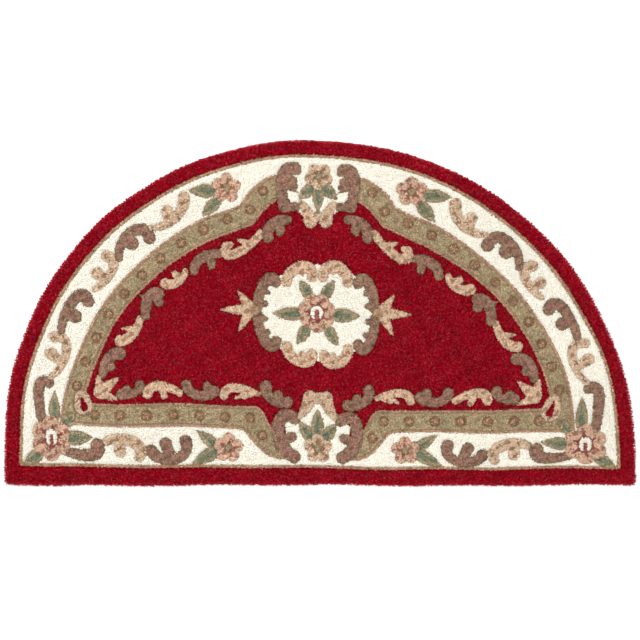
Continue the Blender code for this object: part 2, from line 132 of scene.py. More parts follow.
# The yarns, in screen colours: one near a shape's edge, one for its heart, and one for darker strands.
# The mottle is how much one tuft of it is lighter or darker than the next; it also scales the painted
# groove shade and the painted nap shading on that yarn.
Yarn = namedtuple("Yarn", "edge heart strand mottle")
YARNS = {
    "red": Yarn((136, 1, 21), (136, 1, 21), (130, 1, 19), 0.22),
    "ivory": Yarn((244, 239, 226), (242, 237, 223), (239, 233, 217), 0.03),
    "green": Yarn((172, 149, 117), (166, 149, 116), (150, 132, 102), 0.18),
    "sand": Yarn((192, 154, 124), (172, 138, 109), (158, 122, 96), 0.16),
    "guard": Yarn((188, 150, 119), (188, 150, 119), (158, 118, 88), 0.2),
    "taupe": Yarn((147, 124, 96), (154, 111, 99), (122, 94, 76), 0.2),
    "tan": Yarn((213, 187, 160), (198, 169, 141), (154, 119, 92), 0.14),
    "cream": Yarn((214, 185, 156), (205, 174, 146), (164, 127, 100), 0.14),
    "leaf": Yarn((168, 150, 118), (156, 140, 108), (130, 122, 92), 0.16),
    "vein": Yarn((120, 126, 103), (120, 126, 103), (98, 110, 92), 0.16),
    "petal": Yarn((207, 172, 146), (204, 168, 142), (154, 107, 88), 0.14),
    "blush": Yarn((172, 118, 98), (172, 118, 98), (150, 92, 78), 0.16),
    "deep blush": Yarn((160, 96, 82), (160, 96, 82), (142, 76, 68), 0.16),
    "umber": Yarn((170, 134, 105), (170, 134, 105), (142, 106, 80), 0.16),
    "rose": Yarn((158, 92, 80), (158, 92, 80), (140, 74, 66), 0.16),
    # The dot's edge colour is darker than its heart: partly a darker outline yarn, partly painted shade
    # round the raised dot.
    "dot": Yarn((140, 108, 80), (176, 142, 112), (150, 116, 88), 0.16),
}
# These are shaded into a shape, with no carved line round them.
UNCARVED = ("vein", "blush", "deep blush", "umber")
HEART_DEPTH = 2.6
HEART_UNEVENNESS = 1.3
STRAND_WAVES = (Wave(1.6, 3.4, 0), Wave(-2.3, 1.8, 1.7), Wave(3.6, -1.4, 0.4))
STRAND_FROM = 0.95
STRAND_UNEVENNESS = 0.9
STRAND_SHYNESS = 0.5

# A scroll's spine leaves its start and arrives at its end on the two headings, in degrees. Its half
# width is given at its start, middle and end. Each lobe grows from the spine at a share of its length
# to a disc of its own: a wide disc makes a bump, and a small one a thorn.
Scroll = namedtuple("Scroll", "yarn x y leave to_x to_y arrive start middle end lobes")
BORDER_SCROLLS = (
    Scroll("tan", 136, 283.5, -94, 167.5, 254, 5, 6, 5, 3, ((0.65, 152.5, 270.5, 5.6),)),
    Scroll("taupe", 169.5, 243.5, 75, 200, 222.5, -97, 6.3, 5.5, 4, ((0.7, 187.5, 238, 7.2),)),
    Scroll("tan", 212, 223.5, 190, 223, 191.5, -30, 6, 4.5, 3, ((0.7, 221, 206.5, 6),)),
    Scroll("taupe", 230, 179.5, 70, 257.8, 150, -82, 6.3, 5.5, 4.1, ((0.7, 243.5, 164.5, 7),)),
    Scroll("tan", 265, 142.8, 165, 267.5, 103, -35, 5.3, 4.4, 3, ((0.7, 268.5, 126, 6),)),
    Scroll("taupe", 269.5, 97, 30, 277, 57, -100, 5.3, 5.5, 4.5, ()),
    Scroll("taupe", 253, 31, 195, 220.5, 37.5, 80, 4.3, 6, 7.3, ()),
    Scroll("tan", 212.5, 41.5, 150, 179.5, 27.5, -60, 4, 6, 4.8, ((0.3, 198, 33, 6),)),
    Scroll("taupe", 168, 33.5, 235, 133.5, 42, 70, 6.2, 5, 6.3, ((0.45, 153.5, 40, 6),)),
)
FIELD_SCROLLS = (
    Scroll("taupe", 31.5, 264, 8, 50.5, 245.5, -112, 4.5, 5.7, 5, (
        (0.3, 38.5, 253, 4.4), (0.3, 40, 249, 2.4),
    )),
    Scroll("cream", 58.5, 249.8, -60, 91, 236.5, 100, 4, 4.7, 4.6, (
        (0.25, 79.5, 243, 1.4), (1, 86, 238.5, 2.5),
    )),
    Scroll("taupe", 95.5, 229.5, 5, 121.5, 213.5, -95, 3.6, 5.2, 4.9, (
        (0.28, 103.5, 219, 4.2), (0.28, 104.5, 217, 2.4),
    )),
    Scroll("cream", 131.5, 212, -80, 153, 199.5, 20, 3.5, 4.3, 5.5, ((0.25, 143, 209, 3.5),)),
    Scroll("taupe", 159.5, 189, 25, 172.3, 166, -97, 5.8, 5.4, 5, (
        (0.12, 159, 180.5, 4.8), (0.5, 178.5, 186.5, 0.8),
    )),
    Scroll("cream", 177.5, 163, -80, 198.5, 140.5, 5, 3.5, 4.8, 5.5, ((0.35, 196, 152.5, 1.2),)),
    Scroll("taupe", 198, 128, 15, 215.5, 108, -90, 6, 5.8, 4, ((0.55, 207.5, 115.5, 4.5),)),
    Scroll("taupe", 196, 88.5, 188, 178.5, 97, 88, 5.5, 4.3, 4.9, ((0.22, 191.5, 92.5, 4.8),)),
    Scroll("cream", 170.5, 88.5, 100, 139.5, 88.5, 215, 5, 4.5, 3.5, ((0.5, 154.5, 85.5, 3),)),
    Scroll("taupe", 132.5, 97, 262, 105, 92.5, 135, 5.3, 5, 5.5, ((0.85, 111.5, 96.5, 4.9),)),
    Scroll("cream", 95.2, 88.5, 100, 60, 90.5, 205, 4.5, 4.3, 2.5, (
        (0.8, 82.5, 86.8, 1.8), (0.9, 75, 88.5, 3),
    )),
    Scroll("taupe", 52, 98, -78, 31, 82.5, 165, 6, 4.8, 5.8, ((0.75, 40, 89.5, 4.7),)),
)
PANEL_SCROLLS = (
    Scroll("tan", 17, 281, -130, 8, 262.5, -100, 3, 5.5, 7, ()),
    Scroll("taupe", 25, 316.5, 5, 35, 276.5, -98, 7, 6, 5.4, (
        (0, 21.5, 313, 3.6), (0.4, 26.5, 303.5, 5.4), (0.45, 23.5, 298, 3.2), (0.5, 20.5, 291.5, 0.7),
        (1, 22, 277.5, 4.3),
    )),
    Scroll("tan", 8, 88.5, -80, 18.5, 68, -50, 7, 5.5, 2.5, ()),
    Scroll("taupe", 23.5, 66, 40, 25, 28, 205, 6, 6.3, 6.5, ((0.7, 27, 48, 5),)),
)
MEDALLION_SCROLLS = (
    Scroll("cream", 31, 204, 95, 5.5, 209, 270, 5.5, 5.5, 5.5, ((0.6, 16, 213, 3.5),)),
    Scroll("cream", 31, 138.5, -95, 6, 132.5, 90, 5.5, 5.5, 5.3, ((0.6, 15.5, 131.5, 3.5),)),
    Scroll("taupe", 41.5, 203, 62, 58.3, 178, -92, 5.4, 5.3, 4.5, (
        (0.65, 49, 193, 2.5), (0.95, 51.5, 181.5, 3),
    )),
    Scroll("taupe", 41.5, 143.5, -75, 58.5, 170, 95, 5.3, 5.2, 4.5, (
        (0.65, 49.5, 152.5, 3), (0.95, 52, 166, 3),
    )),
)

# A leaf or a spike runs from its root along one heading.
Leaf = namedtuple("Leaf", "x y heading length half_width")
BORDER_LEAVES = (
    Leaf(264.5, 60, 92, 29, 5.5),
    Leaf(256.5, 54, 136, 20, 5.5),
    Leaf(250.5, 43.5, 176, 25, 6.5),
    Leaf(280.5, 28.5, -30, 18, 6),
    Leaf(101.5, 38, 35, 26, 5.5),
    Leaf(101.5, 34, -28, 29, 6.5),
    Leaf(106.5, 291.5, -3, 25, 6.5),
    Leaf(102, 282, -47, 22, 6),
    Leaf(5.5, 298, -42, 19, 6),
    Leaf(7.5, 47.5, 53, 19, 6),
)
MEDALLION_LEAVES = (
    Leaf(18.5, 172, -1, 26, 6.5),
    Leaf(7.5, 190, 56, 18, 5.5),
    Leaf(11, 158.5, -59, 19, 5.5),
)
FINIAL_SPIKES = (
    Leaf(66, 175, 0, 28, 6.5),
    Leaf(66, 177, 58, 20, 5.5),
    Leaf(66, 173, -62, 22.5, 5.5),
)
CORNER_SPIKES = (
    Leaf(217, 91, 141, 23, 7),
    Leaf(217, 90, 202, 18, 5.5),
    Leaf(217, 92, 75, 16, 6),
)
MIDDLE_LEAVES = (
    Leaf(0, 298, -90, 27, 5.5),
    Leaf(0, 51, 90, 26, 6.5),
)

# A streak of blush runs out from the heart over each petal. The heart itself is given from the outside
# in: its yarn, its half width, and how far it is drawn out up and down.
Flower = namedtuple("Flower", "area yarn blush x y reach petals turn heart")
FLOWERS = (
    Flower("border", "petal", "blush", 93, 295, 15.5, 5, 20, (("leaf", 3, 1, 1),)),
    Flower("border", "petal", "blush", 90.5, 37, 15, 5, 20, (("leaf", 3, 1, 1),)),
    Flower("border", "petal", "deep blush", 268.5, 43, 21, 6, 30, (
        ("rose", 7, 2, 2), ("ivory", 5.8, 2.5, 1.5), ("rose", 1.9, 1, 8),
    )),
)
MIDDLE_FLOWERS = (
    Flower("border", "tan", "umber", 0, 309, 14.5, 5, 54, (("leaf", 3, 1, 1),)),
    Flower("border", "tan", "umber", 0, 37, 15, 5, 18, (("leaf", 3, 1, 1),)),
    Flower("medallion", "petal", "deep blush", 0, 174, 19.5, 7, 12, (
        ("rose", 7.8, 0, 0), ("ivory", 6.6, 0.5, 0), ("rose", 2.2, 1, 8),
    )),
)

# The green band's dots, and its two ends: up to the panel at the top and down to the one at the foot.
DOT_RADIUS = 5
ARCH_DOTS = 10
ARCH_DOT_START = 15
ARCH_DOT_STEP = 5.95
FOOT_DOTS = 7
FOOT_DOT_START = 68.5
FOOT_DOT_STEP = 25.7
END_DOTS = ((68.5, 273.5), (55.5, 293), (56.5, 50))
CORNER_DROP = ((234, 76, 9.5), (236, 84, 7.5))
DROP_HEART = ((233, 74, 3.6), (236.5, 84.5, 0.8))
PANEL_TIPS = ((0, 268, 5.5), (0, 88, 6))
FINIAL_NODE = (61.5, 174.5, 5)
BAND_RISE_OUTER = (
    (112, 266), (90, 273), (79, 278), (74, 286), (68, 293.5), (60, 300.5), (50, 307), (40, 310), (31, 311),
)
BAND_RISE_INNER = (
    (150, 217), (130, 229.5), (110, 240.5), (90, 248.5), (74, 254.5), (66, 257.5), (60, 266), (55, 272.5),
    (48, 279), (40, 284), (31, 286),
)
BAND_DIP_OUTER = (
    (31, 25.5), (41, 26), (50, 29), (58, 35), (65, 42.5), (71, 50), (76, 55), (84, BAND_FOOT),
    (257, BAND_FOOT),
)
BAND_DIP_INNER = (
    (31, 40), (41, 47), (47, 57), (51, 65), (55, 73), (60, 78), (66, BAND_TOP), (232, BAND_TOP),
)
PANEL_TOP = ((20, 272), (8, 262))
PANEL_FOOT = ((8, 86), (20, 72), (34, 60))
MEDALLION_CENTRE = 173
MEDALLION_HALF_SIZE = (60, 47)

# The pile, in metres. Tufts stand in a close-packed, uneven pattern on the ground mesh.
TUFT_SPACING = 0.0028
TUFT_JITTER = 0.24
TUFT_TOP_HALF = 0.00205
# Each tuft's root corner is painted darker than its four top corners: painted shade down between the
# fibres.
TUFT_PAINTED_SHADES = np.array([0.8, 1, 1, 1, 1])
TUFT_CUT_UNEVENNESS = 0.0003
TUFT_HEIGHT_UNEVENNESS = 0.0003
TUFT_LEAN = 0.0004
TUFT_SIZES = (0.88, 1.12)
CROWDED_SHRINK = 0.22
SHORTEST_TUFT = 0.003
NAP = (0.0003, -0.0006)
LINE_CLEARANCE = 0.0007
PUSH_STEPS = 2
SMALL_STEP = 0.05
RIM_STEP = 0.5
LEAST_SLOPE = 0.5
STRAY = 0.3
GROUND_LEVEL = 0.0082
ROOT_LEVEL = 0.0070
ROUND_EDGE = 0.0060
ROUND_EDGE_DROP = 0.0050
EDGE_TUFT_LENGTH = 0.0042
EDGE_TUFT_HALF = 0.0018
EDGE_TUFT_RAGGEDNESS = 0.0013
EDGE_TUFT_INSET = 0.0010
EDGE_TUFT_ROOT_DROP = 0.0006
EDGE_TUFT_FLOOR_GAP = 0.0005
EDGE_STEP_SHARE = 0.85
EDGE_JITTER = 0.3
EdgeTier = namedtuple("EdgeTier", "level inset")
EDGE_TIERS = (
    EdgeTier(0.0075, 0.0),
    EdgeTier(0.0052, 0.0002),
    EdgeTier(0.0030, 0.0006),
    EdgeTier(0.0012, 0.0012),
)
TUFT_ROW = 0.0054
TOOTH_REACH = 0.0022
GROUND_STEP = 0.0048
TINT_SHARE = 0.2
BRIGHTEST = 0.95
FLECK_SHARE = 0.08
FLECK_GAIN = 0.8
# Flecks get extra painted sheen: whitish light added into their colour.
FLECK_PAINTED_SHEEN = 0.012
# Broad lighter and darker patches are painted where the pile would lean differently to the light.
NAP_PAINTED_SHADE = 0.16
# Tufts near a carved line are painted darker, as shade in the groove, over the reach in squares.
PAINTED_GROOVE_SHADE = 1.5
PAINTED_GROOVE_SHADE_REACH = 1.8
# A whitish painted sheen added to every tuft, standing in for light off the fibre tips.
PAINTED_SHEEN = 0.0052
# The outer rim is painted lighter and paler, as light caught by the pile leaning over the edge.
RIM_PAINTED_LIGHT = 0.7
RIM_PAINTED_SHEEN = 0.012
NAP_PAINTED_SHADE_WAVES = (Wave(4.3, 9.1, 0), Wave(-7.7, 3.9, 1.1), Wave(6.1, -5.3, 2.3), Wave(11.3, 13.7, 0.7))
# The ground under the tufts is painted darker, as shade deep in the pile.
GROUND_PAINTED_SHADE = 0.85
SEED = 11


def arc(centre_x, centre_y, radius, start, end, points):
    """Points along a circle from one angle to another, in degrees."""
    angle = np.radians(np.linspace(start, end, points))
    return np.stack([centre_x + radius * np.cos(angle), centre_y + radius * np.sin(angle)], 1)


def half_moon(inset, foot, step=OUTLINE_STEP):
    """The rug's outline drawn in from the rim: round arch, short skirt and straight foot."""
    radius = ARCH_RADIUS - inset
    steps = round(math.pi * radius / step)
    foot_line = np.linspace(-radius + CORNER_RADIUS, radius - CORNER_RADIUS, round(2 * radius / step))
    return np.concatenate([
        arc(radius - CORNER_RADIUS, foot + CORNER_RADIUS, CORNER_RADIUS, -60, 0, 3),
        arc(0, SKIRT_HEIGHT, radius, 0, 180, steps),
        arc(-radius + CORNER_RADIUS, foot + CORNER_RADIUS, CORNER_RADIUS, 180, 240, 3),
        np.stack([foot_line, np.full(len(foot_line), foot)], 1),
    ])


def band_edge(radius, dip, rise):
    """One long edge of the green band on the drawn half, from the foot panel round to the top one."""
    low = math.degrees(math.asin((dip[-1][1] - SKIRT_HEIGHT) / radius))
    high = math.degrees(math.acos(rise[0][0] / radius))
    steps = round(radius * math.radians(high - low) / OUTLINE_STEP)
    return np.concatenate([dip, arc(0, SKIRT_HEIGHT, radius, low, high, steps), rise[1:]])


def on_side(shape, side):
    """The shape on the drawn half, or mirrored for the other one."""
    return shape * np.array([side, 1, 1])[:shape.shape[1]]


def spine(row):
    """A scroll's spine, as discs: a curve between its two ends, on their headings."""
    along = np.linspace(0, 1, SPINE_POINTS)[:, None]
    start = np.array([row.x, row.y])
    end = np.array([row.to_x, row.to_y])
    chord = np.hypot(*(end - start))
    toward = math.atan2(row.to_y - row.y, row.to_x - row.x)
    leave = math.radians(row.leave)
    arrive = math.radians(row.arrive)
    turn = abs(math.remainder(leave - toward, math.tau))
    turn += abs(math.remainder(arrive - toward, math.tau))
    handle = HANDLE_SHARE * chord * math.tan(turn / 4) / math.sin(turn / 2)
    first = start + handle * np.array([math.cos(leave), math.sin(leave)])
    second = end - handle * np.array([math.cos(arrive), math.sin(arrive)])
    back = 1 - along
    path = start * back ** 3 + 3 * first * along * back ** 2
    path += 3 * second * along ** 2 * back + end * along ** 3
    half = row.start * back * (back - along) + row.middle * 4 * along * back
    half += row.end * along * (along - back)
    return np.concatenate([path, half], 1)


def scroll(row):
    """The swept shapes of one scroll: its spine and its lobes."""
    body = spine(row)
    shapes = [body]
    for along, x, y, radius in row.lobes:
        root = body[round(along * (SPINE_POINTS - 1))] * [1, 1, LOBE_ROOT_SHARE]
        shapes.append(np.linspace(root, [x, y, radius], LOBE_POINTS))
    return shapes


def disc(x, y, radius):
    """One round shape."""
    return [np.array([[x, y, radius]])]


def tapered(start, end):
    """A shape swept straight from one disc to another."""
    return [np.linspace(start, end, LOBE_POINTS)]


def leaf(row):
    """A leaf's swept shape: pointed at its tip, blunter at its root."""
    along = np.linspace(0, 1, SPINE_POINTS)
    swell = np.sin(math.pi * (LEAF_ROOT_SHARE + (1 - LEAF_ROOT_SHARE) * along ** LEAF_CREST)).clip(0)
    return swept_straight(row, along, row.half_width * swell + TIP_HALF_WIDTH)


def vein(row):
    """The dark streak along a leaf's middle, widest near its root."""
    along = np.linspace(*VEIN_REACH, LOBE_POINTS)
    return swept_straight(row, along, row.half_width * VEIN_SHARE * (1 - along))


def spike(row):
    """A spike's swept shape: widest at its root."""
    along = np.linspace(0, 1, SPINE_POINTS)
    return swept_straight(row, along, row.half_width * (1 - along) ** TAPER_POWER + TIP_HALF_WIDTH)


def swept_straight(row, along, half):
    """Discs along a straight line from the row's root."""
    heading = math.radians(row.heading)
    x = row.x + row.length * along * math.cos(heading)
    y = row.y + row.length * along * math.sin(heading)
    return [np.stack([x, y, half], 1)]


def round_flower(row, far, turn):
    """The places at one distance from a flower's middle, one for each petal."""
    for k in range(row.petals):
        angle = math.radians(row.turn + turn + 360 * k / row.petals)
        yield row.x + far * math.cos(angle), row.y + far * math.sin(angle)


class Ground:
    """A yarn that fills one closed outline, drawn in by an inset."""

    def __init__(self, area, yarn, outline, inset=0.0):
        self.area = area
        self.yarn = yarn
        self.carved = True
        self.outline = outline
        self.inset = inset
        self.low = outline.min(axis=0)
        self.high = outline.max(axis=0)

    def distance(self, points):
        """How far each point lies inside, negative outside."""
        nearest = np.full(len(points), np.inf)
        inside = np.zeros(len(points), bool)
        for (ax, ay), (bx, by) in zip(self.outline, np.roll(self.outline, -1, axis=0)):
            dx, dy = bx - ax, by - ay
            px, py = points[:, 0] - ax, points[:, 1] - ay
            along = np.clip((px * dx + py * dy) / max(dx * dx + dy * dy, 1e-12), 0, 1)
            nearest = np.minimum(nearest, (px - along * dx) ** 2 + (py - along * dy) ** 2)
            if ay != by:
                crossed = (ay > points[:, 1]) != (by > points[:, 1])
                inside ^= crossed & (px < py * dx / dy)
        nearest = np.sqrt(nearest)
        return np.where(inside, nearest, -nearest) - self.inset


class Motif:
    """A yarn that fills the union of swept shapes."""

    def __init__(self, area, yarn, shapes):
        self.area = area
        self.yarn = yarn
        self.carved = yarn not in UNCARVED
        self.discs = np.concatenate(shapes)
        self.low = (self.discs[:, :2] - self.discs[:, 2:]).min(axis=0)
        self.high = (self.discs[:, :2] + self.discs[:, 2:]).max(axis=0)

    def distance(self, points):
        """How far each point lies inside, negative outside."""
        deepest = np.full(len(points), -np.inf)
        for x, y, radius in self.discs:
            deepest = np.maximum(deepest, radius - np.hypot(points[:, 0] - x, points[:, 1] - y))
        return deepest


def grounds():
    """The rim, the guard stripe, the border, the green band and the field, from the rim inwards."""
    yield Ground("rim", "red", half_moon(0, 0))
    yield Ground("rim", "guard", half_moon(RIM_WIDTH, FOOT_RIM_WIDTH))
    yield Ground("border", "ivory", half_moon(RIM_WIDTH + GUARD_WIDTH, FOOT_RIM_WIDTH + GUARD_WIDTH))
    outer = band_edge(BAND_OUTER_RADIUS, BAND_DIP_OUTER, BAND_RISE_OUTER)
    inner = band_edge(BAND_INNER_RADIUS, BAND_DIP_INNER, BAND_RISE_INNER)
    band = np.concatenate([outer, inner[::-1]])
    for side in (1, -1):
        yield Ground("band", "sand", on_side(band, side))
        yield Ground("band", "green", on_side(band, side), BAND_EDGE_WIDTH)
    half_field = np.concatenate([PANEL_FOOT, inner, PANEL_TOP])
    yield Ground("field", "red", np.concatenate([half_field, on_side(half_field, -1)[::-1]]))
    steps = round(360 / OVAL_STEP_DEGREES)
    circle = arc(0, 0, 1, 0, 360 - OVAL_STEP_DEGREES, steps)
    yield Ground("medallion", "ivory", circle * MEDALLION_HALF_SIZE + [0, MEDALLION_CENTRE])


def dot_places():
    """The middles of the green band's dots on the drawn half."""
    for k in range(ARCH_DOTS):
        angle = math.radians(ARCH_DOT_START + ARCH_DOT_STEP * k)
        radius = (BAND_OUTER_RADIUS + BAND_INNER_RADIUS) / 2
        yield radius * math.cos(angle), SKIRT_HEIGHT + radius * math.sin(angle)
    for k in range(FOOT_DOTS):
        yield FOOT_DOT_START + FOOT_DOT_STEP * k, (BAND_FOOT + BAND_TOP) / 2
    yield from END_DOTS


def flower(row):
    """A flower's petals, the blush near their roots, and then its heart."""
    petal = row.reach * PETAL_SHARE
    for x, y in round_flower(row, row.reach - petal, 0):
        yield row.area, row.yarn, tapered((row.x, row.y, petal * PETAL_ROOT_SHARE), (x, y, petal))
    for x, y in round_flower(row, row.reach * BLUSH_OUT, BLUSH_TURN):
        yield row.area, row.blush, tapered((row.x, row.y, row.reach * BLUSH_SHARE), (x, y, TIP_HALF_WIDTH))
    for yarn, half, above, below in row.heart:
        yield row.area, yarn, tapered((row.x, row.y - below, half), (row.x, row.y + above, half))


def side_motifs():
    """The area, yarn and shapes of each motif on the drawn half, in the order they cover each other."""
    for x, y in dot_places():
        yield "band", "dot", disc(x, y, DOT_RADIUS)
    yield "band", "tan", tapered(*CORNER_DROP)
    yield "band", "red", tapered(*DROP_HEART)
    for rows in (FINIAL_SPIKES, CORNER_SPIKES):
        yield "field", "cream", [shape for row in rows for shape in spike(row)]
    for area, table in (("border", BORDER_SCROLLS), ("field", FIELD_SCROLLS),
                        ("border", PANEL_SCROLLS), ("medallion", MEDALLION_SCROLLS)):
        for row in reversed(table):
            yield area, row.yarn, scroll(row)
    yield "medallion", "sand", disc(*FINIAL_NODE)
    for area, table in (("border", BORDER_LEAVES), ("medallion", MEDALLION_LEAVES)):
        for row in table:
            yield area, "leaf", leaf(row)
            yield area, "vein", vein(row)
    for row in FLOWERS:
        yield from flower(row)


def motifs():
    """The shapes laid over the grounds."""
    for place in PANEL_TIPS:
        yield Motif("border", "tan", disc(*place))
    for side in (1, -1):
        for area, yarn, shapes in side_motifs():
            yield Motif(area, yarn, [on_side(discs, side) for discs in shapes])
    for row in MIDDLE_LEAVES:
        yield Motif("border", "leaf", leaf(row))
        yield Motif("border", "vein", vein(row))
    for row in MIDDLE_FLOWERS:
        for area, yarn, shapes in flower(row):
            yield Motif(area, yarn, shapes)


def painted(points, patches):
    """The number of the patch that shows at each point, and how far its nearest carved edge lies."""
    shown = np.full(len(points), -1)
    depth = np.full(len(points), float(DEEPEST))
    for number, patch in enumerate(patches):
        close = (points > patch.low - DEEPEST) & (points < patch.high + DEEPEST)
        near = np.flatnonzero(close.all(axis=1))
        inside = patch.distance(points[near])
        covered = inside > 0
        shown[near[covered]] = number
        if patch.carved:
            depth[near] = np.where(covered, inside, np.minimum(depth[near], -inside))
    return shown, depth


def ripple(x, y, waves):
    """A smooth, uneven rise and fall over the design."""
    return sum(np.sin(x / wave.across + y / wave.up + wave.shift) for wave in waves)


def laid(points):
    """The design's points in metres where they lie: a little out of true and uneven, as cut by hand."""
    x, y = points[:, 0], points[:, 1]
    lower = OUT_OF_TRUE * x * np.clip(y / OUT_OF_TRUE_FADE, 0, 1)
    angle = np.arctan2(np.maximum(y - SKIRT_HEIGHT, 0), x)
    radius = np.hypot(x, np.maximum(y - SKIRT_HEIGHT, 0))
    bulge = SHOULDER_BULGE * np.abs(np.sin(2 * angle)) - FLAT_TOP * np.sin(angle) ** 6
    bulge *= radius / ARCH_RADIUS
    right, up = pulled(x, y, radius)
    moved_x = x + HAND_WOBBLE * ripple(x, y, WAVES_ACROSS) + bulge * np.cos(angle) + right
    moved_y = y + HAND_WOBBLE * ripple(x, y, WAVES_UP) + bulge * np.sin(angle) + up - lower
    return np.stack([moved_x, moved_y - HEIGHT_IN_SQUARES / 2], 1) * SQUARE


def pulled(x, y, radius):
    """How far the design strays from its place inside the rim, as a blend of the nearest pulls."""
    weights = [np.exp(-((x - pull.x) ** 2 + (y - pull.y) ** 2) / PULL_REACH ** 2) for pull in PULLS]
    total = sum(weights) + PULL_HOLD
    inside = np.minimum(ARCH_RADIUS - radius, y).clip(0, PULL_FADE) / PULL_FADE
    right = inside * sum(weight * pull.right for weight, pull in zip(weights, PULLS)) / total
    up = inside * sum(weight * pull.up for weight, pull in zip(weights, PULLS)) / total
    return right, up


def centred(points):
    """The laid points, with the rug's own middle over the part's."""
    rim = laid(half_moon(0, 0))
    low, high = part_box("rug")
    middle = [(low.x + high.x) / 2, (low.y + high.y) / 2]
    return laid(points) - (rim.min(axis=0) + rim.max(axis=0)) / 2 + middle


def close_packed(spacing, jitter, random):
    """Uneven close-packed places over the whole design, in squares."""
    row_step = spacing * math.sqrt(3) / 2
    across = np.arange(-ARCH_RADIUS, ARCH_RADIUS, spacing)
    up = np.arange(0, HEIGHT_IN_SQUARES, row_step)
    x, y = np.meshgrid(across, up)
    x = x + (np.arange(len(up)) % 2)[:, None] * spacing / 2
    places = np.stack([x.ravel(), y.ravel()], 1)
    return places + random.uniform(-jitter, jitter, places.shape) * spacing


def linear(colour):
    """A screen colour, 0 to 255, as linear light."""
    share = np.array(colour) / 255
    return np.where(share <= 0.04045, share / 12.92, ((share + 0.055) / 1.055) ** 2.4)


def yarn_colours(places, shown, depth, patches, random):
    """The yarn colour of each tuft: its patch's edge yarn, its heart yarn, or a darker strand."""
    edges, hearts, strands = (
        np.array([linear(getattr(YARNS[patch.yarn], part)) for patch in patches])[shown]
        for part in ("edge", "heart", "strand")
    )
    turns_at = HEART_DEPTH + HEART_UNEVENNESS * random.normal(size=len(depth))
    colours = np.where((depth > turns_at)[:, None], hearts, edges)
    strand = ripple(*places.T, STRAND_WAVES) + STRAND_UNEVENNESS * random.normal(size=len(depth))
    strand -= STRAND_SHYNESS * (HEART_DEPTH - depth).clip(0)
    return np.where((strand > STRAND_FROM)[:, None], strands, colours)


def mottled(colours, mottle, random):
    """The colours with each tuft a little lighter or darker than the next, by its yarn's own share, and a
    whitish painted sheen added on top.
    """
    shade = 1 + mottle * random.normal(size=len(colours)).clip(-2, 2)
    flecks = random.random(len(colours)) < FLECK_SHARE
    shade = np.where(flecks, shade * (1 + FLECK_GAIN * mottle), shade)
    tint = 1 + TINT_SHARE * mottle[:, None] * random.normal(size=colours.shape).clip(-2, 2)
    # Painted sheen: whitish light added into the colour, heavier on the flecks.
    painted_sheen = PAINTED_SHEEN * random.exponential(size=len(colours)).clip(0, 4) + FLECK_PAINTED_SHEEN * flecks
    return (colours * shade[:, None] * tint + painted_sheen[:, None]).clip(0, BRIGHTEST)


Tufts = namedtuple("Tufts", "roots tips half_widths colours")


def standing_tufts(patches, random):
    """The tufts over the whole face, pushed clear of every carved line, and the patch of each."""
    places = close_packed(TUFT_SPACING / SQUARE, TUFT_JITTER, random)
    shown, depth = painted(places, patches)
    keep = shown >= 0
    places, depth = places[keep], depth[keep]
    clearance = LINE_CLEARANCE / SQUARE
    for _ in range(PUSH_STEPS):
        tight = np.flatnonzero(depth < clearance)
        slopes = []
        for step in ((SMALL_STEP, 0), (0, SMALL_STEP)):
            _, beside = painted(places[tight] + step, patches)
            slopes.append((beside - depth[tight]) / SMALL_STEP)
        slope = np.stack(slopes, 1)
        slope /= np.maximum(np.hypot(*slope.T), LEAST_SLOPE)[:, None]
        places[tight] += slope * (clearance - depth[tight])[:, None]
        _, depth[tight] = painted(places[tight], patches)
    shown, depth = painted(places + STRAY * random.normal(size=places.shape), patches)
    keep = shown >= 0
    return places[keep], shown[keep], depth[keep]


def teeth(up, outward):
    """How far the rows of tufts, which run across the rug, step out and in where they end at the rim."""
    return TOOTH_REACH * np.abs(outward[:, 0]) * np.sin(math.tau * up / TUFT_ROW)


def stood_up(places, shown, depth, patches, random):
    """The roots, tips, widths and colours of the standing tufts, in metres; the colours carry painted
    shade and light.
    """
    count = len(places)
    apart = depth * SQUARE
    carved = CARVED_DEPTH * np.clip(1 - apart / CARVED_HALF_WIDTH, 0, 1)
    rim_distance = patches[0].distance(places) * SQUARE
    inward = np.clip(rim_distance / ROUND_EDGE, 0, 1)
    on_rim = rim_distance < ROUND_EDGE
    carved[on_rim] = 0
    drop = ROUND_EDGE_DROP * (1 - np.sqrt(1 - (1 - inward) ** 2))
    ground = centred(places)
    outward = np.stack([
        patches[0].distance(places) - patches[0].distance(places + [RIM_STEP, 0]),
        patches[0].distance(places) - patches[0].distance(places + [0, RIM_STEP]),
    ], 1) / RIM_STEP
    lean = random.normal(size=(count, 2)).clip(-2, 2) * TUFT_LEAN + NAP
    lean += outward * ((1 - inward) * (ROUND_EDGE / 4 + teeth(ground[:, 1], outward)))[:, None]
    height = THICKNESS - carved - drop + random.normal(size=count).clip(-2, 2) * TUFT_HEIGHT_UNEVENNESS
    roots = np.column_stack([ground, np.minimum(ROOT_LEVEL, height - SHORTEST_TUFT)])
    tips = np.column_stack([ground + lean, height])
    tight = np.clip(1 - apart / CARVED_HALF_WIDTH, 0, 1)
    half = TUFT_TOP_HALF * (1 - CROWDED_SHRINK * tight) * random.uniform(*TUFT_SIZES, count)
    mottle = np.array([YARNS[patch.yarn].mottle for patch in patches])[shown]
    colours = mottled(yarn_colours(places, shown, depth, patches, random), mottle, random)
    # Painted light and shade of the nap, in broad soft patches.
    colours *= (1 + NAP_PAINTED_SHADE * mottle * ripple(*places.T, NAP_PAINTED_SHADE_WAVES))[:, None]
    # Painted shade along the carved grooves, left off at the rim.
    groove_shade = np.where(on_rim, 0, np.clip(1 - depth / PAINTED_GROOVE_SHADE_REACH, 0, 1))
    colours *= (1 - PAINTED_GROOVE_SHADE * mottle * groove_shade)[:, None]
    # Painted light on the tufts near the rim, where the pile leans out.
    colours = colours * (1 + RIM_PAINTED_LIGHT * (1 - inward))[:, None] + RIM_PAINTED_SHEEN * (1 - inward)[:, None]
    return Tufts(roots, tips, half, colours)


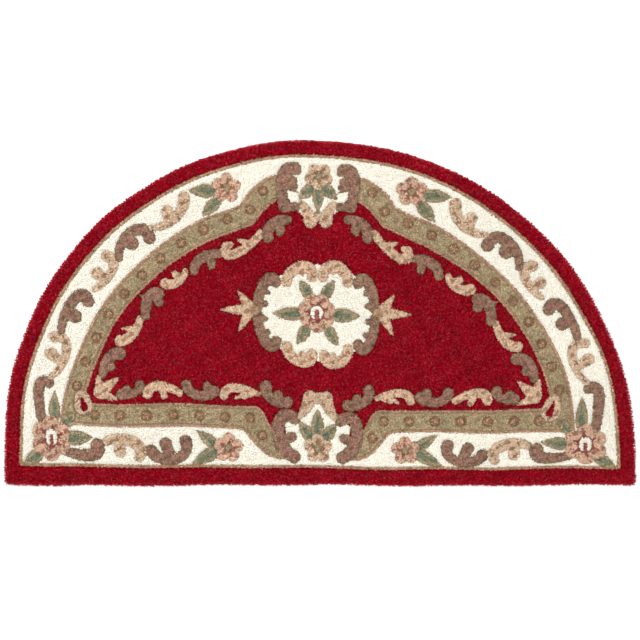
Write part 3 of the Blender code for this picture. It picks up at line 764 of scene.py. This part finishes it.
def edge_tufts(random):
    """Tiers of tufts that stand out sideways round the rim, over the side of the ground mesh, painted
    lighter as light caught on the rim.
    """
    outline = centred(half_moon(0, 0, step=1))
    roots, tips = [], []
    for level, inset in EDGE_TIERS:
        along = np.roll(outline, -1, axis=0) - outline
        lengths = np.hypot(*along.T)
        travelled = np.concatenate([[0], np.cumsum(lengths)])
        at = np.arange(0, travelled[-1], TUFT_SPACING * EDGE_STEP_SHARE)
        at = at + random.uniform(-EDGE_JITTER, EDGE_JITTER, len(at)) * TUFT_SPACING
        closed = np.concatenate([outline, outline[:1]])
        place = np.stack([np.interp(at, travelled, closed[:, k]) for k in (0, 1)], 1)
        ahead = np.stack([np.interp(at + TUFT_SPACING, travelled, closed[:, k]) for k in (0, 1)], 1)
        heading = ahead - place
        heading /= np.hypot(*heading.T)[:, None]
        outward = np.stack([heading[:, 1], -heading[:, 0]], 1)
        reach = random.normal(size=len(at)).clip(-2, 2) * EDGE_TUFT_RAGGEDNESS
        reach += -inset - EDGE_TUFT_INSET
        reach += teeth(place[:, 1], outward)
        root_level = np.full(len(at), level - EDGE_TUFT_ROOT_DROP)
        tip_level = level + random.normal(size=len(at)) * TUFT_HEIGHT_UNEVENNESS
        roots.append(np.column_stack([place - outward * EDGE_TUFT_LENGTH, root_level]))
        tips.append(np.column_stack([place + outward * reach[:, None], tip_level]))
    roots, tips = np.concatenate(roots), np.concatenate(tips)
    half = EDGE_TUFT_HALF * random.uniform(*TUFT_SIZES, len(roots))
    tips[:, 2] = np.maximum(tips[:, 2], half + EDGE_TUFT_FLOOR_GAP)
    red = np.tile(linear(YARNS["red"].edge), (len(roots), 1))
    colours = mottled(red, np.full(len(roots), YARNS["red"].mottle), random)
    # The sideways tufts are painted lighter and paler, as light caught along the rim edge.
    return Tufts(roots, tips, half, colours * (1 + RIM_PAINTED_LIGHT) + RIM_PAINTED_SHEEN)


def tuft_mesh(name, tufts, random):
    """One mesh of tufts, each a four-sided bundle that flares from one point, painted darker as shade, to
    its unevenly cut top.
    """
    count = len(tufts.roots)
    axis = tufts.tips - tufts.roots
    axis /= np.linalg.norm(axis, axis=1)[:, None]
    sideways = np.cross(axis, [0.31, 0.95, 0.05])
    sideways /= np.linalg.norm(sideways, axis=1)[:, None]
    across = np.cross(axis, sideways)
    turn = random.uniform(0, math.tau, count)
    corners = [tufts.roots]
    for k in range(4):
        angle = turn + k * math.tau / 4
        out = np.cos(angle)[:, None] * sideways + np.sin(angle)[:, None] * across
        uneven = TUFT_CUT_UNEVENNESS * random.normal(size=count).clip(-2, 2)
        corners.append(tufts.tips + out * tufts.half_widths[:, None] + axis * uneven[:, None])
    points = np.stack(corners, 1).reshape(-1, 3)
    first = 5 * np.arange(count)[:, None]
    sides = [first + [0, 1 + (k + 1) % 4, 1 + k] for k in range(4)]
    faces = [*np.concatenate(sides).tolist(), *(first + [1, 2, 3, 4]).tolist()]
    # The root corner of each tuft takes painted shade.
    colours = (tufts.colours[:, None] * TUFT_PAINTED_SHADES[None, :, None]).reshape(-1, 3)
    mesh = bpy.data.meshes.new(name)
    mesh.from_pydata(points, [], faces)
    finish_mesh(mesh, points, colours)
    return mesh


def finish_mesh(mesh, points, colours):
    """Smooth shading, the yarn colours, and a flat map of the piece seen from above."""
    mesh.shade_smooth()
    # The colour attribute carries the yarn colours with their painted shade, light and sheen.
    attribute = mesh.attributes.new("yarn", "FLOAT_COLOR", "POINT")
    attribute.data.foreach_set("color", np.column_stack([colours, np.ones(len(colours))]).ravel())
    low = points.min(axis=0)
    size = (points.max(axis=0) - low).max() * 1.01
    flat = (points[:, :2] - low[:2]) / size
    corners = np.empty(len(mesh.loops), int)
    mesh.loops.foreach_get("vertex_index", corners)
    layer = mesh.uv_layers.new(name="OFBake")
    layer.data.foreach_set("uv", flat[corners].ravel())


def placed(name, mesh, material):
    """A new piece that rides on the rug."""
    piece = bpy.data.objects.new(name, mesh)
    piece.data.materials.append(material)
    bpy.context.scene.collection.objects.link(piece)
    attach(piece, "root")
    return piece


GroundRing = namedtuple("GroundRing", "inset height")
GROUND_RINGS = (
    GroundRing(0.0045, 0.0078),
    GroundRing(0.0036, 0.0062),
    GroundRing(0.0030, 0.0030),
    GroundRing(0.0022, 0.0016),
    GroundRing(0.0022, 0.0),
)


def ground_mesh(patches, random):
    """The closed body under the tufts: dense pile and backing, its face in the yarns' colours painted
    darker as shade deep in the pile.
    """
    inset = GROUND_RINGS[0].inset / SQUARE
    rim = half_moon(inset, inset)
    places = close_packed(GROUND_STEP / SQUARE, 0, random)
    inside = Ground("rim", "red", rim).distance(places) > 1
    every = np.concatenate([places[inside], rim])
    first = int(inside.sum())
    ring = [(first + k, first + (k + 1) % len(rim)) for k in range(len(rim))]
    made = delaunay_2d_cdt([Vector(p) for p in every], ring, [], 1, 0.01)
    flat = np.array([tuple(v) for v in made[0]])
    mesh = bmesh.new()
    vertices = [mesh.verts.new((x, y, GROUND_LEVEL)) for x, y in centred(flat)]
    for face in made[2]:
        mesh.faces.new([vertices[k] for k in face])
    edge = [e for e in mesh.edges if e.is_boundary]
    for vertex in {v for e in edge for v in e.verts}:
        vertex.co.z = GROUND_RINGS[0].height
    for before, after in zip(GROUND_RINGS, GROUND_RINGS[1:]):
        outward = {v: outward_normal(v) for e in edge for v in e.verts}
        extruded = bmesh.ops.extrude_edge_only(mesh, edges=edge)["geom"]
        edge = [e for e in extruded if isinstance(e, bmesh.types.BMEdge) and e.is_boundary]
        for vertex in {v for e in edge for v in e.verts}:
            above = next(v for e in vertex.link_edges for v in e.verts if v in outward)
            vertex.co += outward[above] * (before.inset - after.inset)
            vertex.co.z = after.height
    bmesh.ops.holes_fill(mesh, edges=edge, sides=0)
    bmesh.ops.recalc_face_normals(mesh, faces=mesh.faces[:])
    data = bpy.data.meshes.new("rug_ground")
    mesh.to_mesh(data)
    mesh.free()
    points = np.empty(len(data.vertices) * 3)
    data.vertices.foreach_get("co", points)
    points = points.reshape(-1, 3)
    shown, _ = painted(flat, patches)
    edges = np.array([linear(YARNS[patch.yarn].edge) for patch in patches])
    colours = np.tile(edges[0], (len(points), 1))
    colours[:len(flat)] = edges[shown.clip(0)]
    # Painted shade: the ground's colours are darkened as if deep in the pile.
    finish_mesh(data, points, colours * GROUND_PAINTED_SHADE)
    return data


def outward_normal(vertex):
    """The level direction out of the sheet at a vertex on its open edge."""
    total = Vector((0, 0, 0))
    for edge in vertex.link_edges:
        if edge.is_boundary:
            along = edge.other_vert(vertex).co - vertex.co
            across = Vector((along.y, -along.x, 0)).normalized()
            middle = edge.link_faces[0].calc_center_median() - vertex.co
            total += across if across.dot(middle) < 0 else -across
    return total.normalized()


def wool(name):
    """Matt wool yarn: its colour, painted shade and light included, comes from the mesh, with fine fibres
    as bump.
    """
    material = bpy.data.materials.new(name)
    material.use_nodes = True
    nodes, links = material.node_tree.nodes, material.node_tree.links
    shader = nodes["Principled BSDF"]
    shader.inputs["Roughness"].default_value = 0.92
    shader.inputs["Specular IOR Level"].default_value = 0
    yarn = nodes.new("ShaderNodeAttribute")
    yarn.attribute_name = "yarn"
    place = nodes.new("ShaderNodeTexCoord")
    fibres = nodes.new("ShaderNodeTexNoise")
    fibres.inputs["Scale"].default_value = 1500
    fibres.inputs["Detail"].default_value = 2
    links.new(place.outputs["Object"], fibres.inputs["Vector"])
    shade = nodes.new("ShaderNodeMapRange")
    shade.inputs["To Min"].default_value = 0.82
    shade.inputs["To Max"].default_value = 1.12
    links.new(fibres.outputs["Fac"], shade.inputs["Value"])
    tinted = nodes.new("ShaderNodeVectorMath")
    tinted.operation = "SCALE"
    links.new(yarn.outputs["Color"], tinted.inputs[0])
    links.new(shade.outputs["Result"], tinted.inputs["Scale"])
    links.new(tinted.outputs["Vector"], shader.inputs["Base Color"])
    bump = nodes.new("ShaderNodeBump")
    bump.inputs["Strength"].default_value = 0.5
    bump.inputs["Distance"].default_value = 0.0004
    links.new(fibres.outputs["Fac"], bump.inputs["Height"])
    links.new(bump.outputs["Normal"], shader.inputs["Normal"])
    return material


def build_rug():
    """The ground mesh and the pile on it, in pieces by area of the design."""
    random = np.random.default_rng(SEED)
    patches = [*grounds(), *motifs()]
    pile_wool = wool("wool pile")
    ground = placed("rug_ground", ground_mesh(patches, random), pile_wool)
    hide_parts("rug")
    places, shown, depth = standing_tufts(patches, random)
    tufts = stood_up(places, shown, depth, patches, random)
    areas = np.array([patch.area for patch in patches])[shown]
    left = places[:, 0] < 0
    pile = []
    for name, chosen in (
        ("pile_rim", areas == "rim"),
        ("pile_band", areas == "band"),
        ("pile_medallion", areas == "medallion"),
        ("pile_border_left", (areas == "border") & left),
        ("pile_border_right", (areas == "border") & ~left),
        ("pile_field_left", (areas == "field") & left),
        ("pile_field_right", (areas == "field") & ~left),
    ):
        some = Tufts(*(values[chosen] for values in tufts))
        pile.append(placed(name, tuft_mesh(name, some, random), pile_wool))
    pile.append(placed("pile_edge", tuft_mesh("pile_edge", edge_tufts(random), random), pile_wool))
    for piece in (ground, *pile):
        print(piece.name, sum(len(face.vertices) - 2 for face in piece.data.polygons), "triangles")


# The studio, in metres and watts.
FLOOR_SIZE = 60
FLOOR_LEVEL = -0.0002
CAMERA_LENS = 100
CAMERA_SENSOR = 36
PICTURE_SQUARES = 640
PICTURE_MIDDLE = (0.2, -7)
TOP_LIGHT = 420
KEY_LIGHT = 160
SKY = 0.45


def studio():
    """A plain white floor, one wide light overhead, a softer key from the upper left, and pale air."""
    mesh = bpy.data.meshes.new("floor")
    half = FLOOR_SIZE / 2
    corners = [(-half, -half, 0), (half, -half, 0), (half, half, 0), (-half, half, 0)]
    mesh.from_pydata(corners, [], [(0, 1, 2, 3)])
    floor = bpy.data.objects.new("floor", mesh)
    floor.location.z = FLOOR_LEVEL
    bpy.context.scene.collection.objects.link(floor)
    white = bpy.data.materials.new("studio floor")
    white.use_nodes = True
    shader = white.node_tree.nodes["Principled BSDF"]
    shader.inputs["Base Color"].default_value = (0.9, 0.9, 0.9, 1)
    shader.inputs["Roughness"].default_value = 0.9
    shader.inputs["Specular IOR Level"].default_value = 0.1
    mesh.materials.append(white)
    for name, place, size, power in (
        ("top light", (0, 0, 6.5), 5.0, TOP_LIGHT),
        ("key light", (-3.2, 3.0, 4.6), 2.0, KEY_LIGHT),
    ):
        light = bpy.data.lights.new(name, "AREA")
        light.size = size
        light.energy = power
        lamp = bpy.data.objects.new(name, light)
        lamp.location = place
        lamp.rotation_mode = "QUATERNION"
        lamp.rotation_quaternion = Vector(place).to_track_quat("Z", "Y")
        bpy.context.scene.collection.objects.link(lamp)
    world = bpy.data.worlds.new("pale air")
    world.use_nodes = True
    world.node_tree.nodes["Background"].inputs["Color"].default_value = (1, 1, 1, 1)
    world.node_tree.nodes["Background"].inputs["Strength"].default_value = SKY
    bpy.context.scene.world = world
    bpy.context.scene.view_settings.view_transform = "Standard"


def camera():
    """Straight above the rug, framed as in the photograph."""
    data = bpy.data.cameras.new("camera")
    data.lens = CAMERA_LENS
    data.sensor_width = CAMERA_SENSOR
    eye = bpy.data.objects.new("camera", data)
    low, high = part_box("rug")
    middle = (low + high) / 2
    distance = PICTURE_SQUARES * SQUARE * CAMERA_LENS / CAMERA_SENSOR
    eye.location.x = middle.x + PICTURE_MIDDLE[0] * SQUARE
    eye.location.y = middle.y + PICTURE_MIDDLE[1] * SQUARE
    eye.location.z = THICKNESS + distance
    bpy.context.scene.collection.objects.link(eye)
    bpy.context.scene.camera = eye


build_rug()
studio()
camera()
